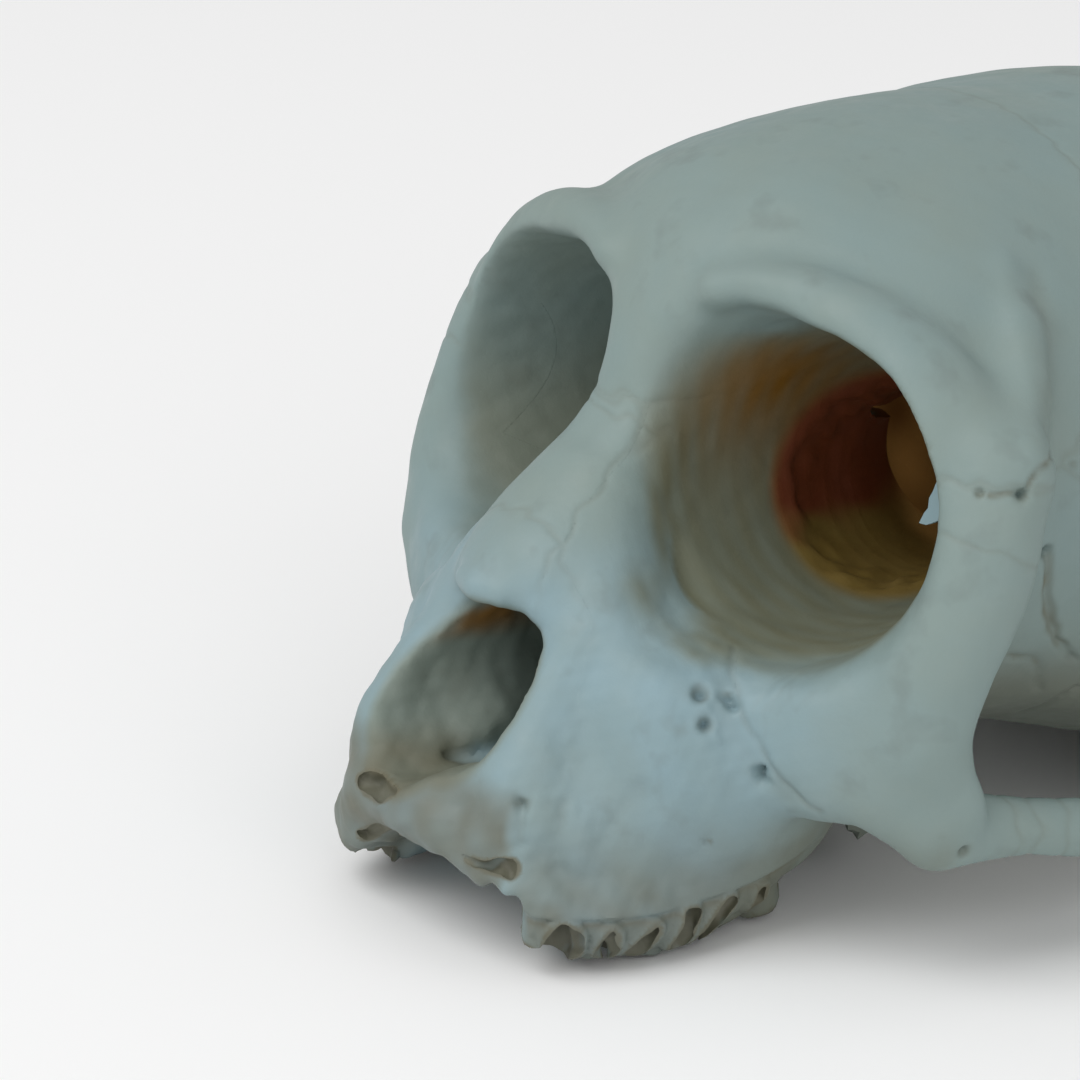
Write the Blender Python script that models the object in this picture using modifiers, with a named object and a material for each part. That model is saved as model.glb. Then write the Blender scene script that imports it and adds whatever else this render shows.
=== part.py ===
"""Skull of a capuchin-sized monkey without its lower jaw, toothless, as a museum specimen.

The skull is shaped as one form from named sizes: rounded masses and tapered rods of clay are fused, the
orbits, nose, sockets and openings are hollowed out, every point is settled onto the smooth blend of those
shapes, and the whole is parted along its sutures into bones. Sizes are in millimetres in the skull's frame:
x to its left, y to the back, z up, from midway between the lower rims of the orbits. The finished bones are
placed in metres, resting on the tooth rows and the occipital condyles.
"""

import math

import bmesh
import bpy
import numpy as np
from mathutils import Matrix, Vector

MM = 0.001
PITCH = 5.0  # degrees the face tips up as the skull rests on tooth rows and condyles
FLOOR = -19.55  # height of the floor in the skull's frame, measured along the tipped upright
SEAM = 0.3  # width of a suture
CLAY = 0.9  # voxel of the first fusing
SETTLING = ((0.9, 6, 0.8), (0.7, 3, 0.4), (0.6, 2, 0.2))  # voxel, rounds and longest move of each settling
KEEP = 8200  # triangles of the whole form before it is parted

LENGTH_OF_CASE, WIDTH_OF_CASE, HEIGHT_OF_CASE = 70.4, 52.8, 42.4
ORBIT = 10.0  # radius of an orbit's rim
SOCKET, SOCKET_DEPTH = 1.4, 4.2  # radius and depth of a cheek tooth's socket
SOCKET_STEP = 3.05  # from one cheek tooth's socket to the next

# One rounded mass: name, centre, half sizes, turn in degrees, blend with what lies under it, on both sides
MASSES = [
    ("braincase", (0, 38, 9.2), (WIDTH_OF_CASE / 2, LENGTH_OF_CASE / 2, HEIGHT_OF_CASE / 2), (-3, 0, 0), 0),
    ("frontal_lobe", (0, 17.5, 9.6), (19.0, 20.0, 19.9), (0, 0, 0), 4),
    ("forehead_side", (10.5, 13.0, 8.8), (12.5, 13.6, 15.6), (0, 0, 0), 5),
    ("glabella", (3.0, 8.6, 13.6), (9.0, 9.6, 12.6), (0, 0, 0), 4),
    ("occipital_lobe", (0, 55, 8.0), (22.8, 19.4, 18.6), (4, 0, 0), 6),
    ("temporal_lobe", (15.5, 33, -1), (9.5, 16, 9.5), (0, 0, -12), 5),
    ("cerebellar_lobe", (11, 58, -3), (11, 11, 8), (0, 0, 0), 5),
    ("ear_capsule", (13.4, 38.0, -9.4), (4.8, 8.4, 5.8), (0, 0, 28), 1.0),
    ("mastoid", (21.5, 46.5, -6.5), (3.4, 5.4, 5.6), (0, 0, 0), 2.5),
    ("behind_joint", (19.5, 38.8, -9.5), (3.4, 1.4, 3.6), (0, 0, -10), 1.2),
    ("condyle", (6.6, 50.5, -12.6), (2.7, 4.8, 3.4), (0, 0, 24), 1.2),
    ("cheek", (9.5, -2.6, -7.6), (5.8, 7.6, 8.4), (0, 0, 0), 4),
    ("sinus", (6.6, -8.0, -10.0), (4.2, 6.0, 4.5), (0, 0, 0), 2),
    ("tuberosity", (11, 1.6, -8), (5.6, 7.2, 8), (0, 0, 0), 4),
    ("joint_root", (22, 41, -4.2), (6, 5, 3.2), (0, 0, 0), 2.5),
]

# One rod: name, points with a radius each, (direction it is flattened along, thickness factor) or None, blend
RODS = [
    ("skull_base", [(0, 12, -4, 4.5), (0, 28, -5.5, 5.0), (0, 42, -8.6, 4.2)], None, 5),
    ("orbit_cone", [(13.4, 5.2, 9.6, 11.2), (12.2, 10, 9.2, 10.6), (9.0, 19, 8, 8.8), (6, 28, 6, 7)],
     None, 2.5),
    ("orbit_rim", [(5.8, 0.4, 20.0, 1.4), (9, 1.6, 20.9, 1.6), (13.5, 3.2, 20.6, 1.8),
                   (18.0, 5.0, 18.7, 2.0), (21.6, 6.4, 15.6, 2.2), (24.0, 6.6, 11.5, 2.4),
                   (24.6, 5.4, 5.5, 2.6), (22.6, 3.2, 0.4, 2.9), (17.5, 1.2, -2.6, 2.6),
                   (11.5, -1.0, -3.2, 1.8), (6.8, -2.6, 0.2, 1.2), (4.4, -2.4, 5, 1.0),
                   (3.2, -1.4, 10, 1.0)], None, 2.0),
    ("bridge", [(0, 4.0, 20, 3.6), (0, 2.2, 17, 3.4), (0, 0.6, 12, 3.2), (0, -2.0, 8, 3.0)], None, 2.5),
    ("nasal_side", [(0.8, -1.6, 10, 2.2), (1.6, -4.6, 6.6, 2.5), (2.6, -7.6, 3.6, 2.3),
                    (3.3, -9.2, 2.0, 1.7), (3.7, -10.0, 0.9, 1.2)], None, 1.5),
    ("nasal_plate", [(1.0, -4.8, 6.8, 2.2), (1.7, -8.4, 3.6, 1.9), (1.9, -10.6, 1.9, 1.4),
                     (1.8, -11.9, 1.4, 0.9)], None, 1.5),
    ("nasal_crest", [(0, -5.0, 7.0, 2.2), (0, -8.8, 3.7, 2.1), (0, -11.0, 2.0, 1.6), (0, -12.3, 1.4, 1.1)],
     None, 1.5),
    ("nose_wall", [(4.2, -3.0, 6, 2.0), (5.3, -7.2, 0.8, 2.1), (5.9, -9.9, -3.6, 2.2),
                   (6.7, -13.2, -8.6, 2.3), (6.0, -14.2, -12.0, 2.1)], None, 2),
    ("tear_wall", [(4.4, -4.4, 4.6, 1.8), (6.4, -6.0, 0.4, 2.2), (8.4, -6.6, -4.0, 2.6)], None, 3.0),
    ("tooth_row", [(0, -15.4, -12.8, 2.1), (4.3, -14.8, -13.3, 2.2), (7.4, -13.6, -15.2, 2.5),
                   (9.0, -12.2, -16.8, 2.9), (10.3, -8.6, -16.8, 3.2), (10.9, -4.5, -16.8, 3.2),
                   (11.0, 0.5, -15.2, 3.0), (10.8, 3.4, -12.9, 2.5)], None, 2),
    ("nose_floor", [(0, -14.6, -11.0, 1.6), (3.0, -14.2, -10.3, 1.6), (5.4, -13.2, -9.2, 1.7)], None, 1.5),
    ("root_wall", [(8.0, -12.6, -11.5, 2.2), (9.0, -9.6, -12.2, 3.2), (9.9, -5.0, -12.6, 3.5),
                   (10.2, 0.0, -12.0, 3.2)], None, 2),
    ("palate", [(0, -13, -11.8, 3.0), (0, -4, -11.8, 4.0), (0, 5, -11.4, 3.5)], ((0, 0, 1), 0.3), 2),
    ("cheekbone", [(14, -1.2, -5.0, 3.2), (18.5, -0.2, -5.2, 4.4), (22.5, 1.4, -5.0, 4.4),
                   (25.2, 3.6, -7.4, 3.4)], ((0.6, -0.8, 0), 0.5), 2.5),
    ("cheekbone_bar", [(25.2, 2.4, -3, 2.6), (25.9, 3.6, 2, 2.6), (26, 5.6, 8, 2.8),
                       (25.2, 7.2, 12.6, 2.4)], ((0.75, -0.65, 0), 0.75), 2.5),
    ("temporal_crest", [(24.4, 8.4, 13, 1.8), (22.4, 11.0, 16.8, 1.2), (19.4, 13.0, 19.8, 0.8)], None, 3),
    ("arch", [(25.6, 4.5, -9.0, 2.4), (27.4, 12, -9.6, 2.1), (29.6, 19, -9.3, 1.8), (30.6, 27, -8.2, 1.8),
              (29.8, 34, -6.2, 1.9), (26.5, 41, -4.6, 2.8)], ((1, -0.15, 0), 0.7), 1.5),
    ("outer_wing", [(8.2, 17, -5, 4.4), (8.8, 14.5, -9.5, 3.6), (9.6, 12.5, -14.0, 2.2)],
     ((1, 0.25, 0), 0.28), 1.2),
    ("inner_wing", [(6.2, 15, -5, 3.2), (6.0, 12.5, -10.5, 2.6), (5.8, 11.0, -14.5, 1.6)],
     ((1, 0, 0), 0.32), 1.0),
    ("nape_line", [(0, 73.0, 3.0, 1.0), (8, 70.5, 4.0, 0.8), (16, 62.5, 0.6, 0.8), (21, 54, -3.0, 1.2)],
     None, 3),
]

# The stump left standing at the right front of the jaw
STUMP = [(-4.8, -15.1, -12.5, 1.8), (-6.6, -14.7, -14.6, 1.8), (-7.0, -14.4, -17.4, 1.6)]

# Hollows: name, points with a radius each, softness of the edge, which side (0 for both)
HOLLOWS = [
    ("orbit", [(16.4, -6.5, 9.6, 11.0), (14.8, -2.4, 9.5, 10.2), (13.6, 1.0, 9.4, ORBIT - 0.1),
               (12.2, 5, 9.3, 9.5), (10.6, 12, 9.0, 8.0), (8.6, 18, 8.4, 5.6), (7.6, 21.5, 8.0, 2.8)],
     2.2, 0),
    ("orbit_corner", [(9.6, -8.0, 14.4, 5.2), (8.6, -1.5, 14.4, 5.2), (9.4, 3.5, 13.2, 4.6)], 3.0, 0),
    ("nose_chamber", [(-0.6, -12, -4.4, 3.8), (-0.5, -8, -4.4, 4.0), (0, -1, -4.5, 4.4), (0, 3, -4.8, 2.6)],
     0.6, 1),
    ("nose_mouth", [(1.2, -20, -6.6, 3.4), (1.0, -16, -5.6, 4.2), (0.8, -12.6, -4.4, 4.5),
                    (-0.3, -9.6, -3.8, 3.7)], 0.8, 1),
    ("nose_sill", [(-1.9, -20, -8.6, 2.8), (-1.9, -16, -7.8, 3.6), (-1.6, -12.6, -6.4, 3.9),
                   (-0.8, -9.4, -4.8, 3.8)], 0.8, 1),
    ("choana", [(3.1, 1, -6.6, 2.3), (3.2, 8, -8.4, 2.6), (3.2, 15, -11.6, 2.7), (3.0, 20, -15.5, 3.4)],
     0.6, 0),
    ("temple_floor", [(21, 11, -14.5, 6.6), (19.5, 19, -14.5, 8.0), (18.5, 26, -15.5, 6.8)], 3.0, 0),
    ("capsule_groove", [(9.6, 27.5, -12.8, 2.0), (6.0, 34, -13.8, 2.4), (6.6, 43.5, -13.4, 2.2)], 1.2, 0),
    ("nape_hollow", [(14.5, 50.5, -14.0, 3.4), (20, 51.5, -11.5, 2.4)], 1.6, 0),
    ("palate_vault", [(0, -12, -19, 4.2), (0, -3, -20.5, 6.2), (0, 8, -20.5, 6.6)], 1.2, 0),
    ("brain_room", [(0, 29, 8.5, 8.5), (0, 36, 9, 13.0), (0, 45, 6, 11.5), (0, 51, -2, 7.4),
                    (0, 53.5, -8, 6.2), (0, 58, -18, 6.6)], 1.2, 0),
    ("broken_orbit", [(11.0, 9.4, 8.2, 6.2), (8.2, 13.4, 7.3, 6.5), (6.5, 19, 6.9, 6.0), (4.4, 26, 7, 6.4)],
     0.5, 1),
    ("ear_hole", [(30, 41, 0, 2.6), (21, 41, 0, 2.4), (17, 41, 0, 1.5)], 0.8, 0),
    ("jugular_pit", [(10.0, 48.5, -14, 1.5), (9.2, 47.5, -7.5, 1.3)], 0.5, 0),
    ("oval_pit", [(10.5, 29, -14, 1.5), (9.5, 29, -5.5, 1.2)], 0.5, 0),
    ("jaw_joint", [(20.6, 33.6, -12.4, 3.4), (25.5, 35.6, -11.2, 3.4)], 1.6, 0),
]


def socket_hollows():
    """The empty sockets: the canine's, then those of the cheek teeth along the tooth row."""
    row = np.array(next(points for name, points, _, _ in RODS if name == "tooth_row"))
    yield "canine_socket", [(9.5, -12.7, -24, 1.8), (9.1, -12.3, -17.2, 1.5)], 0.4, 0
    for i in range(5):
        y = row[4, 1] - 0.6 + i * SOCKET_STEP
        x = np.interp(y, row[4:, 1], row[4:, 0])
        yield f"socket_{i + 1}", [(x, y, -24, SOCKET), (x, y, FLOOR + SOCKET_DEPTH, 0.8 * SOCKET)], 0.4, 0


def turn_matrix(turn):
    around = [Matrix.Rotation(math.radians(angle), 3, axis) for angle, axis in zip(turn, "XYZ")]
    return np.array(around[2] @ around[1] @ around[0])


def smooth_path(points, steps):
    """Points along a smooth curve through the given ones, with their radii."""
    rows = np.array(points, float)
    if len(rows) < 3:
        return rows
    rows = np.vstack([2 * rows[0] - rows[1], rows, 2 * rows[-1] - rows[-2]])
    path = []
    for a, b, c, d in zip(rows, rows[1:], rows[2:], rows[3:]):
        for t in np.linspace(0, 1, steps, endpoint=False):
            bend = (2 * a - 5 * b + 4 * c - d) * t**2 + (3 * b - a - 3 * c + d) * t**3
            path.append(0.5 * (2 * b + (c - a) * t + bend))
    return np.array(path + [rows[-2]])


# ---- the form as distances, in millimetres: below zero inside the bone

def mass(p, centre, half, turn):
    q = (p - centre) @ turn_matrix(turn)
    half = np.array(half, float)
    k = np.sqrt(((q / half) ** 2).sum(-1))
    return k * (k - 1) / np.maximum(np.sqrt(((q / half**2) ** 2).sum(-1)), 1e-6)


def rod(p, points, flat=None):
    path = smooth_path(points, 5)
    centres, radii = path[:, :3], path[:, 3]
    if flat is not None:
        axis = np.array(flat[0], float) / np.linalg.norm(flat[0])
        stretch = 1 / flat[1] - 1
        p = p + (p @ axis)[..., None] * axis * stretch
        centres = centres + (centres @ axis)[..., None] * axis * stretch
    best = np.full(len(p), 1e9)
    for a, b, ra, rb in zip(centres, centres[1:], radii, radii[1:]):
        along = b - a
        t = np.clip((p - a) @ along / (along @ along + 1e-9), 0, 1)
        best = np.minimum(best, np.sqrt(((p - a - t[:, None] * along) ** 2).sum(-1)) - ra - t * (rb - ra))
    return best


def join(a, b, blend):
    if blend <= 0:
        return np.minimum(a, b)
    h = np.maximum(blend - np.abs(a - b), 0) / blend
    return np.minimum(a, b) - h * h * blend / 4


def carve(a, b, blend):
    return -join(-a, b, blend)


def meet(a, b, blend):
    return -join(-a, -b, blend)


HOLLOWS += list(socket_hollows())


def broken_front(p):
    """The front of the jaw is broken off below this ragged surface, up to the left canine's socket."""
    x, y, z = p.T
    ragged = 0.25 * np.sin(1.3 * x + 0.7) + 0.2 * np.sin(2.9 * x + 1.1 * y)
    height = z + 15.2 + 0.37 * np.maximum(-x, 0) + 0.05 * np.maximum(x, 0) + ragged
    return meet(height, meet(0.616 * x + 0.788 * y + 5.7, y + 11.0, 1), 1)


def reach_of(points):
    """The box round a path's balls, as its lowest and highest corners."""
    path = smooth_path(points, 5)
    return (path[:, :3] - path[:, 3:]).min(0), (path[:, :3] + path[:, 3:]).max(0)


def inside(q, low, high, margin):
    return ((q > low - margin) & (q < high + margin)).all(1)


def skull(p):
    """Distance to the whole skull near its surface, with the right side as the left but for its breaks."""
    q = p.copy()
    q[:, 0] = np.sqrt(p[:, 0] ** 2 + 0.25)
    form = np.full(len(p), 1e3)
    for _, centre, half, turn, blend in MASSES:
        near = inside(q, np.array(centre) - max(half), np.array(centre) + max(half), blend + 3)
        form[near] = join(form[near], mass(q[near], centre, half, turn), blend)
    for _, points, flat, blend in RODS:
        near = inside(q, *reach_of(points), blend + 3)
        form[near] = join(form[near], rod(q[near], points, flat), blend)
    near = inside(p, *reach_of(STUMP), 4)
    form[near] = join(form[near], rod(p[near], STUMP), 1.0)
    for _, points, edge, side in HOLLOWS:
        seen = p if side else q
        near = inside(seen, *reach_of(points), edge + 3)
        form[near] = carve(form[near], rod(seen[near], points), edge)
    form = carve(form, broken_front(p), 0.8)
    height = p[:, 2] * math.cos(math.radians(PITCH)) - p[:, 1] * math.sin(math.radians(PITCH))
    return meet(form, FLOOR - height, 0.3)


def settle(mesh, rounds, most):
    """Moves a mesh's points down or up the form's slope, by no more than most at a time, onto its surface."""
    step = 0.05
    for _ in range(rounds):
        points = points_of(mesh)
        here = skull(points)
        slope = np.stack([(skull(points + step * axis) - here) / step for axis in np.eye(3)], -1)
        move = -(here / np.maximum((slope**2).sum(-1), 0.3))[:, None] * slope
        length = np.linalg.norm(move, axis=1, keepdims=True)
        put_points(mesh, points + move * np.minimum(1, most / np.maximum(length, 1e-9)))


# ---- Blender objects

def clear():
    for old in list(bpy.data.objects):
        bpy.data.objects.remove(old)


def collection(name):
    made = bpy.data.collections.new(name)
    bpy.context.scene.collection.children.link(made)
    return made


def add_object(name, mesh, home):
    made = bpy.data.objects.new(name, mesh)
    home.objects.link(made)
    return made


def clay_mass(name, centre, half, turn, side, home):
    bm = bmesh.new()
    bmesh.ops.create_uvsphere(bm, u_segments=32, v_segments=20, radius=1)
    turned = Matrix(turn_matrix(turn)).to_4x4()
    shape = turned @ Matrix.Diagonal((*half, 1))
    place = Matrix.Scale(side, 4, (1, 0, 0)) @ Matrix.Translation(centre) @ shape
    bmesh.ops.transform(bm, matrix=place, verts=bm.verts)
    if side < 0:
        bmesh.ops.reverse_faces(bm, faces=bm.faces)
    mesh = bpy.data.meshes.new(name)
    bm.to_mesh(mesh)
    bm.free()
    return add_object(name, mesh, home)


def clay_rod(name, points, flat, side, home):
    """A tapered tube with round ends: a curve whose bevel follows the radii, made a mesh."""
    path = smooth_path(points, 5)
    curve = bpy.data.curves.new(name, "CURVE")
    curve.dimensions = "3D"
    curve.bevel_depth = 1
    curve.bevel_resolution = 4
    curve.use_fill_caps = True
    spline = curve.splines.new("POLY")
    spline.points.add(len(path) - 1)
    for point, (x, y, z, r) in zip(spline.points, path):
        point.co = (x, y, z, 1)
        point.radius = r
    tube = add_object(name + "_curve", curve, home)
    mesh = bpy.data.meshes.new_from_object(tube.evaluated_get(bpy.context.evaluated_depsgraph_get()))
    bpy.data.objects.remove(tube)
    bm = bmesh.new()
    bm.from_mesh(mesh)
    bmesh.ops.remove_doubles(bm, verts=bm.verts, dist=1e-4)
    for x, y, z, r in (path[0], path[-1]):
        ball = bmesh.ops.create_uvsphere(bm, u_segments=16, v_segments=10, radius=r)["verts"]
        bmesh.ops.translate(bm, vec=(x, y, z), verts=ball)
    if flat is not None:
        axis = Vector(flat[0]).normalized()
        for vert in bm.verts:
            line = min((Vector(row[:3]) for row in path), key=lambda c: (c - vert.co).length)
            off = (vert.co - line).dot(axis)
            vert.co -= axis * off * (1 - flat[1])
    if side < 0:
        bmesh.ops.transform(bm, matrix=Matrix.Scale(-1, 4, (1, 0, 0)), verts=bm.verts)
    bmesh.ops.recalc_face_normals(bm, faces=bm.faces)
    bm.to_mesh(mesh)
    bm.free()
    mesh.name = name
    return add_object(name, mesh, home)


def fused(name, pieces, voxel, home):
    """One closed mesh over all the pieces, by voxels."""
    bm = bmesh.new()
    for piece in pieces:
        bm.from_mesh(piece.data)
        bpy.data.objects.remove(piece)
    mesh = bpy.data.meshes.new(name)
    bm.to_mesh(mesh)
    bm.free()
    made = add_object(name, mesh, home)
    remesh = made.modifiers.new("fuse", "REMESH")
    remesh.mode = "VOXEL"
    remesh.voxel_size = voxel
    apply_all(made)
    return made


def apply_all(thing):
    graph = bpy.context.evaluated_depsgraph_get()
    graph.update()
    mesh = bpy.data.meshes.new_from_object(thing.evaluated_get(graph))
    thing.modifiers.clear()
    thing.data = mesh


def boolean(thing, operation, other, solver="EXACT"):
    cut = thing.modifiers.new(operation.lower(), "BOOLEAN")
    cut.operation = operation
    cut.solver = solver
    cut.object = other
    apply_all(thing)


def keep_largest(thing):
    """Leaves the largest closed surface: drops scraps and fills sealed hollows."""
    bm = bmesh.new()
    bm.from_mesh(thing.data)
    bmesh.ops.triangulate(bm, faces=bm.faces)
    bmesh.ops.remove_doubles(bm, verts=bm.verts, dist=1e-6)
    left, groups = set(bm.verts), []
    while left:
        group, edge = set(), [left.pop()]
        while edge:
            vert = edge.pop()
            group.add(vert)
            for link in vert.link_edges:
                other = link.other_vert(vert)
                if other in left:
                    left.discard(other)
                    edge.append(other)
        groups.append(group)
    groups.sort(key=len, reverse=True)
    dropped = [v for group in groups[1:] for v in group]
    if dropped:
        bmesh.ops.delete(bm, geom=dropped, context="VERTS")
    bm.to_mesh(thing.data)
    bm.free()
    return len(groups) - 1


def points_of(mesh):
    flat = np.empty(len(mesh.vertices) * 3)
    mesh.vertices.foreach_get("co", flat)
    return flat.reshape(-1, 3)


def put_points(mesh, points):
    mesh.vertices.foreach_set("co", points.ravel())
    mesh.update()


# ---- regions that part the skull: outlines in one plane, drawn out along the third axis

def prism(name, outline, axis, low, high, home, grow=0.0):
    """A closed block: an outline of points in the two other axes, from low to high along the given one."""
    others = [i for i in range(3) if i != axis]
    centre = np.mean(outline, axis=0)
    bm = bmesh.new()
    rings = []
    for level in (low - grow, high + grow):
        ring = []
        for i, point in enumerate(outline):
            before, after = np.array(outline[i - 1], float), np.array(outline[(i + 1) % len(outline)], float)
            here = np.array(point, float)
            along_in, along_out = here - before, after - here
            along_in = along_in / np.linalg.norm(along_in)
            along_out = along_out / np.linalg.norm(along_out)
            normal_in = np.array([along_in[1], -along_in[0]])
            normal_out = np.array([along_out[1], -along_out[0]])
            bend = normal_in + normal_out
            here = here + bend * grow / max(bend @ normal_in, 0.4) * turning(outline)
            corner = [0.0, 0.0, 0.0]
            corner[others[0]], corner[others[1]], corner[axis] = here[0], here[1], level
            ring.append(bm.verts.new(corner))
        rings.append(ring)
    bm.faces.new(rings[0])
    bm.faces.new(rings[1][::-1])
    count = len(outline)
    for i in range(count):
        j = (i + 1) % count
        bm.faces.new((rings[0][j], rings[0][i], rings[1][i], rings[1][j]))
    bmesh.ops.recalc_face_normals(bm, faces=bm.faces)
    bmesh.ops.triangulate(bm, faces=bm.faces)
    mesh = bpy.data.meshes.new(name)
    bm.to_mesh(mesh)
    bm.free()
    block = add_object(name, mesh, home)
    block.hide_render = True
    block.display_type = "WIRE"
    return block


def turning(outline):
    """1 where the outline runs anticlockwise, -1 where clockwise."""
    area = sum(a[0] * b[1] - b[0] * a[1] for a, b in zip(outline, list(outline[1:]) + [outline[0]]))
    return 1 if area > 0 else -1


# Bones in the order they are taken off, and the lines they meet along, seen from the side as (y, z)
X, Y = 0, 1
CORONAL = [(8.0, 12.9), (13.5, 12.4), (18.0, 15.5), (23.0, 22.0), (27.5, 40.0)]
SQUAMOUS = [(18.0, 9.5), (24.0, 8.2), (31.0, 12.2), (39.0, 13.0), (47.0, 9.2), (52.0, 3.0)]
LAMBDOID = [(52.0, 3.0), (57.5, 12.0), (61.0, 20.0), (63.5, 40.0)]


def mirrored(sign, low, high):
    return (low, high) if sign > 0 else (-high, -low)


def bones():
    """Each bone's name and its blocks of (outline, axis, low, high)."""
    yield "nasal_bones", [([(-2.6, 12.6), (2.6, 12.6), (3.9, 5.0), (4.4, -4.0), (-4.4, -4.0), (-3.9, 5.0)],
                           Y, -40, -0.6)]
    yield "premaxilla", [([(-40, 6.0), (-9.6, 6.0), (-9.2, 1.0), (-12.6, -9.0), (-11.6, -13.0), (-11.8, -25),
                           (-40, -25)], X, -40, 40)]
    for side, sign in (("left", 1), ("right", -1)):
        cheek = [(16.4, 1.5), (16.4, -4.6), (17.9, -6.1), (19.6, -7.8), (21.4, -10.5), (22.2, -20), (40, -20),
                 (40, 12.7), (21.0, 12.7), (21.0, 4.0)]
        rim = [(11.6, 2.0), (12.0, -0.5), (13.6, -1.3), (15.1, -2.6), (16.3, -4.1), (17.2, -4.9), (17.2, 1.8)]
        root = [(10.0, -20.0), (19.4, -20.0), (21.0, -3.6), (10.0, -3.6)]
        yield f"zygomatic_{side}", [([(sign * a, b) for a, b in cheek], Y, -20, 10.6),
                                    ([(sign * a, b) for a, b in rim], Y, -20, 2.6),
                                    (root, X, *mirrored(sign, 25.2, 40.0))]
    yield "frontal", [([(-20, 60), (-20, 12.9)] + CORONAL + [(27.5, 60)], X, -40, 40),
                      ([(12.0, 11.0), (27.5, 11.0), (27.5, 18.5), (18.0, 18.0), (12.0, 14.0)], X, -17, 17)]
    for side, sign in (("left", 1), ("right", -1)):
        outline = CORONAL[1:] + [(27.5, 60), (63.5, 60)] + LAMBDOID[::-1] + SQUAMOUS[-2::-1]
        yield f"parietal_{side}", [(outline, X, *mirrored(sign, 0, 60))]
    for side, sign in (("left", 1), ("right", -1)):
        outline = [(26.0, -30.0), (26.0, 6.0)] + SQUAMOUS[1:] + [(53.0, -30.0)]
        root = [(12.0, -30.0), (26.4, -30.0), (26.4, -2.0), (12.0, -2.0)]
        yield f"temporal_{side}", [(outline, X, *mirrored(sign, 9.5, 60)), (root, X, *mirrored(sign, 24, 60))]
    yield "occipital", [([(35.0, -40.0), (35.5, -2.0), (50.0, -1.0), (52.0, 3.0)] + LAMBDOID[1:]
                         + [(63.5, 60), (120, 60), (120, -40)], X, -60, 60)]
    for side, sign in (("left", 1), ("right", -1)):
        outline = [(-60, -40), (9.0, -40), (9.0, -14.0), (8.0, -4.0), (8.0, 8.0), (-60, 30)]
        yield f"maxilla_{side}", [(outline, X, *mirrored(sign, 0, 60))]


BONE = {
    "frontal": (0.252, 0.308, 0.287), "parietal": (0.259, 0.308, 0.287), "occipital": (0.266, 0.301, 0.266),
    "temporal": (0.259, 0.294, 0.259), "sphenoid": (0.238, 0.252, 0.21), "zygomatic": (0.252, 0.301, 0.266),
    "maxilla": (0.259, 0.322, 0.336), "premaxilla": (0.245, 0.294, 0.294),
    "nasal_bones": (0.259, 0.315, 0.315),
}


def bone_material(name):
    made = bpy.data.materials.new("bone_" + name)
    made.use_nodes = True
    shader = made.node_tree.nodes["Principled BSDF"]
    colour = next(BONE[kind] for kind in BONE if name.startswith(kind))
    shader.inputs["Base Color"].default_value = (*colour, 1)
    shader.inputs["Roughness"].default_value = 0.62
    shader.inputs["Metallic"].default_value = 0
    return made


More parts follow.
